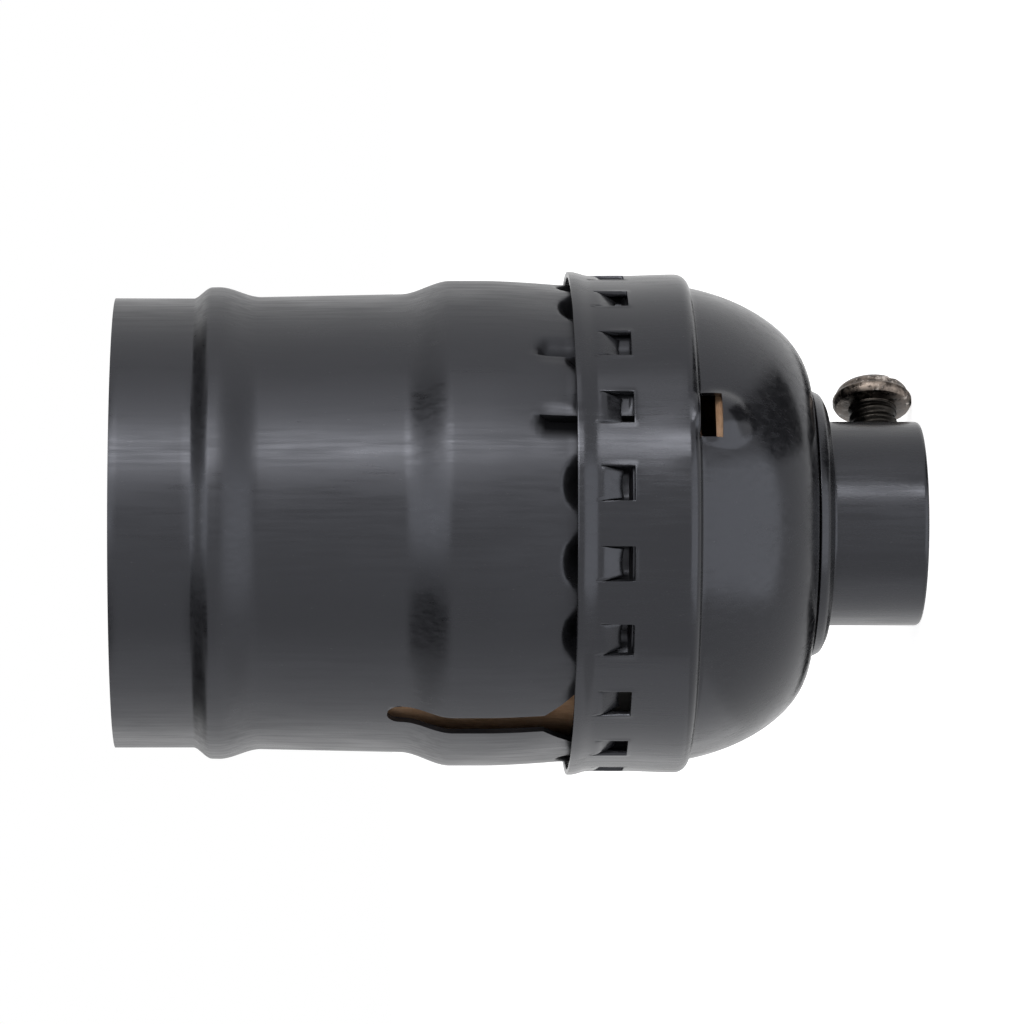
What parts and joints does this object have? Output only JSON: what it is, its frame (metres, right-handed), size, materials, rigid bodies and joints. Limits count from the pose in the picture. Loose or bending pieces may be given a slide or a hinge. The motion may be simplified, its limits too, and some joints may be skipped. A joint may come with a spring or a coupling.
{
  "type": "keyless lamp socket",
  "caption": "Metal-shell lamp socket with a black finish, a domed cap with a neck bushing and set screw, and a threaded bulb shell inside.",
  "frame": {"origin": "centre of the neck's end face, under the middle of the part", "axes": "+Z along the socket's axis, from the neck to the mouth where the bulb goes in; -Y is the side seen in the picture"},
  "size_m": [0.0402, 0.0402, 0.0642],
  "materials": {
    "black_metal": "satin black anodised, fine drawing streaks",
    "brown_paper": "matt vulcanised fibre paper",
    "plated_steel": "zinc plated",
    "antique_steel": "dark antique plating, worn bright on the edges",
    "phenolic": "moulded phenolic, slightly glossy",
    "plain_aluminium": "bright rolled",
    "brass": "bright stamped",
    "nickel": "nickel plated"
  },
  "bodies": {
    "base": {"outer_shell": "black_metal", "shell_liner": "brown_paper", "cap": "black_metal", "cap_liner": "brown_paper", "neck_bushing": "black_metal", "bushing_washer": "plated_steel", "socket_body": "phenolic", "screw_shell": "plain_aluminium", "centre_contact_rivet": "brass", "neutral_rivet": "plain_aluminium", "anchor_rivet": "plain_aluminium", "hot_terminal_plate": "brass", "neutral_terminal_plate": "nickel"},
    "set_screw": {"set_screw": "antique_steel"},
    "centre_contact": {"centre_contact": "brass"},
    "hot_terminal_screw": {"hot_terminal_screw": "brass"},
    "neutral_terminal_screw": {"neutral_terminal_screw": "nickel"}
  },
  "joints": [
    {"name": "set_screw_travel", "type": "slide", "parent": "base", "child": "set_screw", "axis": [-0.891, -0.454, 0], "range_m": [-0.0015, 0.0017]},
    {"name": "centre_contact_flex", "type": "hinge", "parent": "base", "child": "centre_contact", "pos_m": [-0.0049, 0, 0.0359], "axis": [0, 1, 0], "range_deg": [0, 8], "stiffness_Nm_per_rad": 1},
    {"name": "hot_terminal_screw_travel", "type": "slide", "parent": "base", "child": "hot_terminal_screw", "axis": [-1, 0, 0], "range_m": [0, 0.0018]},
    {"name": "neutral_terminal_screw_travel", "type": "slide", "parent": "base", "child": "neutral_terminal_screw", "axis": [1, 0, 0], "range_m": [0, 0.0018]}
  ]
}
